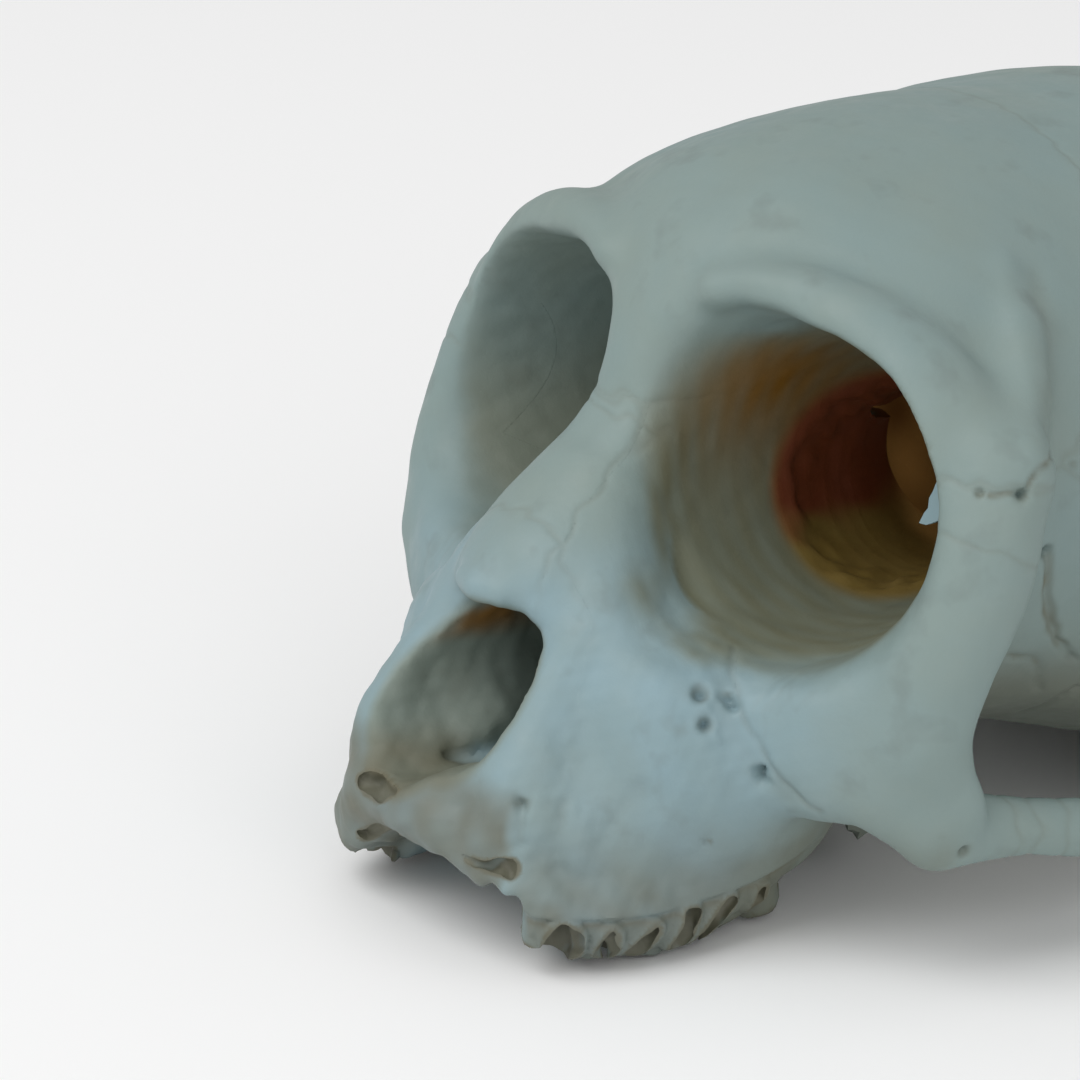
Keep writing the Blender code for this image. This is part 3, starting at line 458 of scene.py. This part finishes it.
# The marks. Fine pits, cracks, grooves and ridges stand where the real skull shows them, on its left side and
# on the broken front; the seams wind. Faces near them are divided again so that they come out crisp.
PITS = [  # middle, radius, depth
    ((13.7, -5.5, -2.4), 0.46, 0.9), ((14.6, -5.7, -4.1), 0.42, 0.9), ((14.6, -4.1, -2.6), 0.34, 0.8),
    ((15.0, -4.1, -3.0), 0.30, 0.7), ((17.25, -3.35, -6.7), 0.32, 0.9), ((17.3, -3.3, -7.3), 0.36, 0.9),
    ((14.9, -4.9, -11.8), 0.26, 0.4), ((27.6, 4.6, -9.7), 0.36, 0.7), ((27.5, 6.4, 12.5), 0.36, 0.8),
    ((26.0, 4.4, 12.4), 0.24, 0.4), ((8.8, -14.9, -9.7), 0.42, 0.7), ((19.8, 2.4, -0.6), 0.22, 0.4),
    ((23.4, 12.9, 7.0), 0.34, 0.9), ((18.6, 20.3, -6.3), 0.3, 0.6),
]
GROOVES = [  # points, width, depth; a ridge has a depth below 0
    ([(12.0, -1.6, -0.5), (13.6, -3.0, -1.3), (15.1, -3.8, -2.6), (16.3, -3.7, -4.1), (17.1, -3.5, -5.0),
      (17.9, -3.1, -6.1), (18.8, -2.5, -7.1), (19.6, -2.0, -7.8), (20.5, -1.2, -8.5)], 0.3, 0.1),
    ([(14.0, -4.0, -1.9), (15.2, -4.5, -3.6), (16.2, -4.2, -5.2), (17.4, -3.4, -6.9),
      (19.0, -2.3, -7.9)], 0.8, 0.16),
    ([(14.1, -5.2, -3.2), (15.2, -5.0, -4.8)], 0.35, -0.14),
    ([(26.3, 4.8, 12.4), (27.5, 6.4, 12.5), (27.5, 7.2, 13.4), (27.2, 8.3, 14.1), (25.6, 11.0, 14.0),
      (23.1, 14.8, 12.2)], 0.22, 0.22),
    ([(23.4, 12.9, 7.0), (23.1, 13.5, 5.7), (22.5, 14.2, 3.5), (21.3, 16.4, 0.6),
      (20.7, 18.7, -1.5)], 0.32, 0.35),
    ([(20.8, 13.2, -0.4), (20.2, 16.0, -1.4), (18.9, 17.9, -3.9)], 0.25, 0.22),
    ([(14.9, 20.3, -7.0), (19.0, 19.6, -4.5), (20.0, 20.1, -3.8), (20.6, 21.5, -3.2)], 0.25, 0.22),
    ([(16.2, 13.8, 23.6), (18.6, 12.5, 21.7), (21.3, 11.1, 19.4), (23.9, 9.7, 17.0),
      (26.7, 7.8, 14.9)], 0.9, -0.22),
    ([(17.3, 15.4, 22.4), (20.0, 14.2, 20.2), (22.6, 12.8, 18.0), (25.3, 10.6, 15.6)], 0.9, 0.22),
    ([(9.0, -14.9, -10.3), (9.1, -14.9, -11.2), (9.1, -14.9, -12.2)], 0.4, 0.25),
    ([(10.3, -12.6, -9.6), (10.5, -13.1, -11.1), (10.4, -13.1, -13.7)], 0.5, 0.2),
    ([(11.3, -11.8, -9.6), (11.4, -12.2, -13.2)], 0.7, -0.16),
    ([(12.8, -8.9, -8.4), (12.3, -10.4, -10.4), (12.0, -11.0, -12.2)], 0.6, 0.18),
    ([(13.6, -7.6, -10.0), (13.2, -8.8, -14.0)], 0.9, -0.14),
    ([(14.4, -6.0, -11.6), (14.2, -6.2, -14.4)], 0.7, 0.12),
    ([(4.6, -16.6, -11.2), (5.0, -16.9, -12.8)], 1.2, 0.4),
    ([(7.4, -16.0, -10.6), (7.2, -16.2, -12.6)], 0.7, -0.22),
    ([(-1.6, -17.2, -13.8), (0.6, -17.3, -13.2)], 0.5, -0.18),
]
LIP = [  # how high the outer tooth row is broken off, from the front to the back
    (-15, -16.5), (-8.7, -16.45), (-5.9, -16.2), (-4.4, -16.0), (-1.6, -15.5), (-0.3, -15.05),
    (1.8, -14.1), (4, -13),
]
FINE = [  # rods round the places whose faces are divided again
    [(11, -14, -17.5, 3.4), (13.5, -8, -17.5, 3.2), (14.3, -2, -16.5, 3.0), (14.6, 1.5, -15.2, 2.6)],
    [(-6, -16, -14, 4.0), (2, -17, -13, 4.0), (8.5, -15, -12.5, 4.0)],
    [(12, -2, -0.5, 1.6), (14.8, -4.6, -3.2, 2.6), (17.2, -3.4, -6.6, 2.2), (20, -1.4, -8.6, 1.8)],
    [(25.8, 4, 12.4, 1.6), (27.6, 7, 13, 2.0), (23.5, 14.6, 12.4, 1.6)],
    [(23.4, 12.9, 7.5, 1.4), (22.5, 14.2, 3.5, 1.4), (20.7, 18.7, -1.5, 1.6), (17, 20.0, -6, 2.4)],
    [(27.6, 4.6, -9.9, 1.2), (27.6, 4.6, -9.5, 1.2)],
    [(8.8, -14.6, -9.4, 1.6), (11, -12, -12, 2.4)],
]


def outward(mesh):
    """Which way the skin faces at each point."""
    flat = np.empty(len(mesh.vertices) * 3, np.float32)
    mesh.vertex_normals.foreach_get("vector", flat)
    return flat.reshape(-1, 3) @ TIP


def seam_gap(p):
    """Distance to the nearest seam, as the seams wind."""
    best = np.full(len(p), 9.0)
    for _, blocks in bones():
        for outline, axis, low, high in blocks:
            within = (p[:, axis] > low - 0.2) & (p[:, axis] < high + 0.2)
            flat = np.delete(p[within], axis, 1)
            gap = np.full(len(flat), 9.0)
            for a, b in zip(outline, outline[1:] + outline[:1]):
                a, line = np.array(a, float), np.subtract(b, a)
                t = np.clip((flat - a) @ line / (line @ line), 0, 1)
                gap = np.minimum(gap, np.linalg.norm(flat - a - t[:, None] * line, axis=1))
            best[within] = np.minimum(best[within], gap)
    return best


def hole_near(p):
    """Distance to the nearest of the sockets and breaks."""
    q = folded(p)
    best = np.full(len(p), 9.0)
    for _, points, side in CUTS:
        seen = p if side else q
        close = near(seen, points, 1.5)
        best[close] = np.minimum(best[close], rod(seen[close], points))
    return best


def nose_gap(p):
    """Distance to the nose's hollows."""
    names = ("nose_chamber", "nose_mouth", "nose_sill")
    return np.minimum.reduce([rod(p, hollow_named(name)) for name in names])


def inside_socket(p):
    """1 in the orbits and the nose, 0 outside."""
    return 1 - fade(np.minimum(rod(folded(p), hollow_named("orbit")), nose_gap(p)), 0.1, 0.9)


def relief(p):
    """How far the small marks lift each point of the skin, in millimetres, and how dark they make it, part
    dirt and part painted shade.
    """
    lift = 0.07 * ripple(p, 7.0, 1) + 0.025 * ripple(p, 2.4, 2)
    dirt_and_shade = np.zeros(len(p))
    face = fade(-p[:, 1], -3, 6) * fade(-p[:, 2], -6, 2)
    lift += face * (0.06 * ripple(p, 2.6, 3) + 0.04 * ripple(p, 1.2, 4))
    for middle, radius, depth in PITS:
        close = np.linalg.norm(p - middle, axis=1) < 4 * radius
        dent = np.zeros(len(p))
        away = np.linalg.norm(p[close] + swirl(p[close], 1.1, 33, 0.1) - middle, axis=1)
        dent[close] = bell(away, 1.05 * radius)
        lift -= depth * dent
        dirt_and_shade = np.maximum(dirt_and_shade, dent)
    inside = inside_socket(p)
    lift += inside * (0.03 * ripple(p, 2.6, 20) + 0.02 * ripple(p, 1.3, 24))
    for points, width, depth in GROOVES:
        line = [(*point, 0) for point in points]
        close = near(p, line, 3 * width)
        dent = bell(rod(p[close] + swirl(p[close], 1.6, 5, 0.12), line), width)
        lift[close] -= depth * dent
        dirt_and_shade[close] = np.maximum(dirt_and_shade[close], (2.4 if width < 0.4 else 0.7) * depth * dent)
    seam = bell(seam_gap(p + swirl(p, 1.8, 8, 0.3)), 0.2) * (1 - 0.9 * face) * (1 - inside)
    lift -= 0.07 * seam
    dirt_and_shade = np.maximum(dirt_and_shade, 0.14 * seam)
    below = np.interp(p[:, 1], *zip(*LIP)) - p[:, 2]
    outer = fade(np.abs(p[:, 0]), 8, 10) * fade(5 - p[:, 1], 0, 2) * fade(p[:, 1], -17, -15)
    outer *= np.where(p[:, 0] < 0, fade(p[:, 1], -12, -9), 1)
    gap = hole_near(p)
    lift -= 0.4 * outer * fade(below, -0.1, 0.25) * fade(gap, 0.1, 0.5)
    # Painted shade: the sockets and breaks are darkened, as they are too shallow to shade themselves.
    dirt_and_shade = np.maximum(dirt_and_shade, 0.85 * (1 - fade(gap, 0.0, 0.3)))
    dirt_and_shade = np.maximum(dirt_and_shade, outer * (0.25 * bell(below - 0.3, 0.35) + 0.62 * fade(below, 0, 0.6)))
    patchy = 0.86 + 0.14 * ripple(p, 2.2, 30)
    # Below the broken tooth row the jaw is darker, part greenish tone and part painted shade of its curve.
    dirt_and_shade = np.maximum(dirt_and_shade, 0.58 * patchy * outer * bell(below, 4.2))
    # Low behind the cheeks, round the sphenoid, the bone is darker: part brown tone, part painted shade.
    behind = fade(-p[:, 2], -1, 4) * fade(p[:, 1], 1, 5) * fade(24 - np.abs(p[:, 0]), 0, 3)
    dirt_and_shade = np.maximum(dirt_and_shade, 0.55 * behind)
    # The front of the premaxilla is darker, part dirt and part painted shade.
    front = fade(-p[:, 2], 8.2, 10.6) * fade(-p[:, 1], 9, 12)
    front = front * fade(9.0 + 0.1 * ripple(p, 1.2, 31) - p[:, 0], 0, 0.9)
    dirt_and_shade = np.maximum(dirt_and_shade, 0.72 * front * patchy)
    return lift, dirt_and_shade


def divide(mesh, chosen):
    """Divides the faces whose points are all chosen."""
    bm = bmesh.new()
    bm.from_mesh(mesh)
    bm.verts.ensure_lookup_table()
    edges = [edge for edge in bm.edges if chosen[edge.verts[0].index] and chosen[edge.verts[1].index]]
    bmesh.ops.subdivide_edges(bm, edges=edges, cuts=1, use_grid_fill=True)
    bm.to_mesh(mesh)
    bm.free()


def smooth(mesh, chosen, rounds):
    """Evens out the chosen points."""
    bm = bmesh.new()
    bm.from_mesh(mesh)
    bm.verts.ensure_lookup_table()
    verts = [bm.verts[i] for i in np.flatnonzero(chosen)]
    for _ in range(rounds):
        bmesh.ops.smooth_vert(bm, verts=verts, factor=0.5, use_axis_x=True, use_axis_y=True, use_axis_z=True)
    bm.to_mesh(mesh)
    bm.free()


def fine_zone(p):
    """Which points lie by the marks, the seams or the torn edge."""
    zone = np.zeros(len(p), bool)
    for points in FINE:
        close = near(p, points, 0.5)
        zone[close] |= rod(p[close], points) < 0
    torn = np.abs(rod(p, hollow_named("broken_orbit"))) < 0.8
    zone |= torn & (rod(folded(p), hollow_named("orbit")) < 2.5)
    return zone | (seam_gap(p) < 0.55)


divide(whole.data, fine_zone(points_of(whole.data)))
skin_points = points_of(whole.data)
in_hole = hole_near(skin_points) < 0.4
settle(whole.data, 1, 0.3, fine_zone(skin_points) & ~in_hole)
skin_points = points_of(whole.data)
edge = np.abs(rod(skin_points, hollow_named("broken_orbit"))) < 0.7
smooth(whole.data, (inside_socket(skin_points) > 0.8) & ~edge, 10)
skin_points = points_of(whole.data)
lift, dirt_and_shade = relief(skin_points)
put_points(whole.data, skin_points + lift[:, None] * outward(whole.data))

# A splinter of pale bone stands in the left orbit, against its outer wall. It is a thin flake, broken off
# ragged, and one with the skin.


def block(outline, axis, low, high):
    """A closed block: the outline drawn along the axis from low to high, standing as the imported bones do."""
    bm = bmesh.new()
    ring = [bm.verts.new(np.insert(np.array(point, float), axis, low)) for point in outline]
    face = bm.faces.new(ring)
    grown = bmesh.ops.extrude_face_region(bm, geom=[face])["geom"]
    way = Vector((0, 0, 0))
    way[axis] = high - low
    bmesh.ops.translate(bm, vec=way, verts=[v for v in grown if isinstance(v, bmesh.types.BMVert)])
    bmesh.ops.recalc_face_normals(bm, faces=bm.faces)
    bmesh.ops.triangulate(bm, faces=bm.faces)
    return thing_of("block", stood(mesh_of(bm, "block")))


SPLINTER = [(19.22, 8.53), (19.58, 9.26), (19.89, 9.66), (19.90, 10.29), (20.19, 10.81), (20.39, 11.36),
            (20.68, 11.88), (22.23, 12.48), (23.00, 9.56), (21.30, 9.41), (20.63, 8.98), (19.86, 8.58)]
SPLINTER_LOW, SPLINTER_HIGH = 6.0, 6.4
splinter = block(SPLINTER, Y, SPLINTER_LOW, SPLINTER_HIGH)
boolean(whole, "UNION", splinter)
bpy.data.objects.remove(splinter)

# The bones. Each is parted from the skin along its seams, one after the other, and what is left is the
# sphenoid, which joins them all in the middle of the skull.
pieces = {}
for name, blocks in bones():
    cutters = [block(*one) for one in blocks]
    for extra in cutters[1:]:
        boolean(cutters[0], "UNION", extra, "EXACT")
    bone = thing_of(name + "_bone", whole.data.copy())
    boolean(bone, "INTERSECT", cutters[0])
    boolean(whole, "DIFFERENCE", cutters[0])
    for cutter in cutters:
        bpy.data.objects.remove(cutter)
    pieces[name] = bone
whole.name = "sphenoid_bone"
pieces["sphenoid"] = whole

# The finish. Old dry bone: cool grey green on the brow and vault, whiter and bluer on the jaw, browner where
# soft parts dried on it, darker with painted shade in the orbits, the nose and the holes, and amber to red
# inside, painted light where light comes through thin bone. Each point carries how much of each tone it has.
AMBER = np.array((3.8, 7.5, 13.5))  # middle of the yellow brown patch of painted light through thin bone, high in the left orbit
AMBER_REACH = (3.4, 6.5, 5.0)
CORNER = [(6.8, 1.2, 5.0, 3.0), (7.4, 1.2, 3.2, 3.1), (9.0, 2.0, 1.0, 3.1)]  # of an orbit, low at the nose
SILL = [(-3.8, -9.9, -7.4, 1.8), (-2.2, -9.0, -7.6, 1.8)]  # a darker strip on the floor of the nose, on the right
PALE = (0.216, 0.322, 0.362)
MOTTLE, SPECK = (0.215, 0.255, 0.215), (0.135, 0.17, 0.16)
STAINS_AND_PAINTED_LIGHT = {  # laid one over the other in this order
    # socket: painted shade in the orbits and the nose
    "socket": (0.145, 0.152, 0.1),
    # amber, deep, red and far: painted light that comes through thin bone
    "amber": (0.19, 0.085, 0.005),
    "deep": (0.22, 0.15, 0.036),
    "red": (0.17, 0.04, 0.014),
    "far": (0.5, 0.3, 0.1),
    # stains, and painted shade in the holes and low places
    "stain_and_shade": (0.11, 0.095, 0.05),
}
GLOW = (0.035, 0.02, 0.006)  # the little light that comes through the far wall of the brain room


def tones(p):
    """How far each point is socket (painted shade), amber, deep, red and far (painted light through thin
    bone), stained or shaded, and pale, from 0 to 1.
    """
    q = folded(p)
    # socket is painted shade: it darkens the walls of the orbits and their corners by the nose, and the nose's
    # hollows at 0.45.
    orbit = rod(q, hollow_named("orbit"))
    soft = 0.7 + 2.2 * fade(6 - q[:, 0], -1, 3) * fade(p[:, 2], 6, 13)
    gap = np.minimum(orbit, rod(q, CORNER))
    socket = (1 - fade(gap / soft, 0.1, 1)) * (1 - fade(8 - q[:, 0], 0, 2) * fade(-p[:, 1], 2.4, 4.2))
    streaks = 0.9 + 0.1 * ripple(p * (0.6, 1.6, 0.25), 1.7, 20)
    socket *= np.where(p[:, 0] < 0, 0.72 - 0.62 * fade(p[:, 2], 4, 13), streaks)
    in_nose = np.minimum(nose_gap(p), rod(p, SILL))
    nose = 1 - fade(in_nose, 0.3, 1.3)
    # deep, red and far are painted light through thin bone in the brain room: amber on the near walls, red
    # higher up, bright orange far at the back, which also glows.
    room = np.minimum(rod(q, hollow_named("brain_room")), rod(p, hollow_named("broken_orbit")))
    deep = 1 - fade(room, 0.3, 1.2)
    uneven = 0.8 * ripple(p, 3.0, 50)
    red = deep * fade(p[:, 2] + uneven, 2.5, 5)
    far = deep * fade(p[:, 1] + 0.5 * uneven, 20, 24) * (0.6 + 0.3 * ripple(p, 5, 53))
    high = bell(np.linalg.norm((p - AMBER) / AMBER_REACH, axis=1), 1) * socket
    nose_top = 0.95 * (1 - fade(in_nose, 0.1, 0.6)) * fade(p[:, 2] + 0.4 * uneven, -4.4, -2.0)
    pale = fade(-p[:, 1], -2, 5) * fade(-p[:, 2], -8, 0) * (1 - socket) * (1 - nose)
    pale *= 0.85 + 0.15 * ripple(p, 4.0, 52)
    stain_and_shade = relief(p)[1]
    flake = (p[:, 1] > SPLINTER_LOW - 0.1) & (p[:, 1] < SPLINTER_HIGH + 0.1)
    flake &= (p[:, 0] < 21.6) & (p[:, 0] > 17) & (orbit < -0.35)
    told = {"socket": socket + 0.45 * nose * (1 - socket), "amber": np.maximum(high, nose_top),
            "deep": deep, "red": red, "far": far, "stain_and_shade": stain_and_shade, "pale": pale}
    return {name: np.where(flake, name == "pale", value) for name, value in told.items()}


def paint(mesh):
    """Writes the tones on the mesh's points."""
    for name, value in tones(points_of(mesh)).items():
        mesh.attributes.new(name, "FLOAT", "POINT").data.foreach_set("value", value.astype(np.float32))


def link(tree, a, b):
    tree.links.new(a, b)


def bone_group():
    """Colour, roughness and relief of old bone from its tones."""
    tree = bpy.data.node_groups.new("old_bone", "ShaderNodeTree")
    tree.interface.new_socket("Bone", in_out="INPUT", socket_type="NodeSocketColor")
    tree.interface.new_socket("Color", in_out="OUTPUT", socket_type="NodeSocketColor")
    for name in ("Roughness", "Height"):
        tree.interface.new_socket(name, in_out="OUTPUT", socket_type="NodeSocketFloat")
    nodes = tree.nodes
    given, out = nodes.new("NodeGroupInput"), nodes.new("NodeGroupOutput")
    place = nodes.new("ShaderNodeTexCoord")

    def noise(scale, detail=3.0, rough=0.55):
        made = nodes.new("ShaderNodeTexNoise")
        made.inputs["Scale"].default_value = scale
        made.inputs["Detail"].default_value = detail
        made.inputs["Roughness"].default_value = rough
        link(tree, place.outputs["Object"], made.inputs["Vector"])
        return made.outputs["Fac"]

    def spread(value, low, high, start=0.0, end=1.0):
        made = nodes.new("ShaderNodeMapRange")
        for socket, number in zip(("From Min", "From Max", "To Min", "To Max"), (low, high, start, end)):
            made.inputs[socket].default_value = number
        link(tree, value, made.inputs["Value"])
        return made.outputs["Result"]

    def mix(factor, a, b):
        made = nodes.new("ShaderNodeMix")
        made.data_type = "RGBA"
        link(tree, factor, made.inputs["Factor"])
        for socket, colour in ((made.inputs[6], a), (made.inputs[7], b)):
            if isinstance(colour, tuple):
                socket.default_value = (*colour, 1)
            else:
                link(tree, colour, socket)
        return made.outputs[2]

    def tone(name):
        made = nodes.new("ShaderNodeAttribute")
        made.attribute_name = name
        return made.outputs["Fac"]

    def times(value, share):
        made = nodes.new("ShaderNodeMath")
        made.operation = "MULTIPLY"
        made.inputs[1].default_value = share
        link(tree, value, made.inputs[0])
        return made.outputs[0]

    colour = mix(tone("pale"), given.outputs["Bone"], PALE)
    colour = mix(times(spread(noise(90, 4), 0.35, 0.75), 0.5), colour, MOTTLE)
    colour = mix(times(spread(noise(260, 3), 0.58, 0.72), 0.35), colour, SPECK)
    for name, tint in STAINS_AND_PAINTED_LIGHT.items():
        colour = mix(tone(name), colour, tint)
    link(tree, colour, out.inputs["Color"])
    link(tree, spread(noise(400), 0.3, 0.7, 0.5, 0.7), out.inputs["Roughness"])
    link(tree, noise(900, 4, 0.6), out.inputs["Height"])
    return tree


OLD_BONE = bone_group()


def bone_finish(name, colour):
    """Matt bone of that colour, with a fine grain."""
    made = bpy.data.materials.new(name)
    made.use_nodes = True
    tree = made.node_tree
    shader = tree.nodes["Principled BSDF"]
    bone = tree.nodes.new("ShaderNodeGroup")
    bone.node_tree = OLD_BONE
    bone.inputs["Bone"].default_value = (*colour, 1)
    bump = tree.nodes.new("ShaderNodeBump")
    bump.inputs["Strength"].default_value = 0.25
    bump.inputs["Distance"].default_value = 0.15 * MM
    # The far tone also glows: painted light from the brain room.
    glow = tree.nodes.new("ShaderNodeAttribute")
    glow.attribute_name = "far"
    link(tree, glow.outputs["Fac"], shader.inputs["Emission Strength"])
    shader.inputs["Emission Color"].default_value = (*GLOW, 1)
    link(tree, bone.outputs["Color"], shader.inputs["Base Color"])
    link(tree, bone.outputs["Roughness"], shader.inputs["Roughness"])
    link(tree, bone.outputs["Height"], bump.inputs["Height"])
    link(tree, bump.outputs["Normal"], shader.inputs["Normal"])
    return made


FINISH = bone_finish("dry_bone", (0.192, 0.262, 0.255))
for name, bone in pieces.items():
    paint(bone.data)
    bone.data.materials.clear()
    bone.data.materials.append(FINISH)
    bone.data.shade_smooth()
    bone.data.set_sharp_from_angle(angle=math.radians(50))
    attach(bone, "root")
    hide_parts(name)

# The floor and the light. A white bench under a broad overcast light from above and in front.
SKULL_MIDDLE = (0, -0.01, 0.025)
bm = bmesh.new()
bmesh.ops.create_grid(bm, x_segments=1, y_segments=1, size=4)
bench = thing_of("bench", mesh_of(bm, "bench"))
white = bpy.data.materials.new("bench_white")
white.use_nodes = True
board = white.node_tree.nodes["Principled BSDF"]
board.inputs["Base Color"].default_value = (0.9, 0.9, 0.9, 1)
board.inputs["Roughness"].default_value = 0.9
bench.data.materials.append(white)

world = bpy.data.worlds.new("overcast")
bpy.context.scene.world = world
world.use_nodes = True
sky = world.node_tree.nodes["Background"]
sky.inputs["Color"].default_value = (1, 1, 1, 1)
sky.inputs["Strength"].default_value = 0.6


def lamp(name, place, size, power):
    """A square lamp aimed at the middle of the skull."""
    light = bpy.data.lights.new(name, "AREA")
    light.size = size
    light.energy = power
    made = thing_of(name, light)
    made.location = place
    made.rotation_euler = (Vector(SKULL_MIDDLE) - Vector(place)).to_track_quat("-Z", "Y").to_euler()


lamp("window", (-0.1, -0.7, 0.9), 0.9, 7)
lamp("fill", (0.9, -0.3, 0.4), 0.8, 2.3)

# The camera, where the photographer stood: low at the left front, a little rolled, with a long lens.
AZIMUTH, ELEVATION, ROLL = 51.95, 16.31, 4.15
DISTANCE = 300.4
LENS = 162.183
AIM = (8, -2, 3)
ASIDE, UP = -9.50, 2.21  # how far the eye is moved off the line to AIM, along the picture
turn, lift, roll = (math.radians(v) for v in (AZIMUTH, ELEVATION, ROLL))
back = np.array((math.sin(turn) * math.cos(lift), -math.cos(turn) * math.cos(lift), math.sin(lift)))
right = np.array((math.cos(turn), math.sin(turn), 0))
over = np.cross(back, right)
right, over = (math.cos(roll) * right + math.sin(roll) * over, math.cos(roll) * over - math.sin(roll) * right)
eye = np.array(AIM) + ASIDE * right + UP * over + DISTANCE * back
axes = np.column_stack([TIP @ right, TIP @ over, TIP @ back])
camera = thing_of("camera", bpy.data.cameras.new("camera"))
camera.data.lens = LENS
camera.data.clip_start = 0.01
camera.matrix_world = Matrix.LocRotScale((TIP @ eye + PLACE) * MM, Matrix(axes).to_quaternion(), None)
bpy.context.scene.camera = camera
bpy.context.scene.view_settings.view_transform = "Standard"
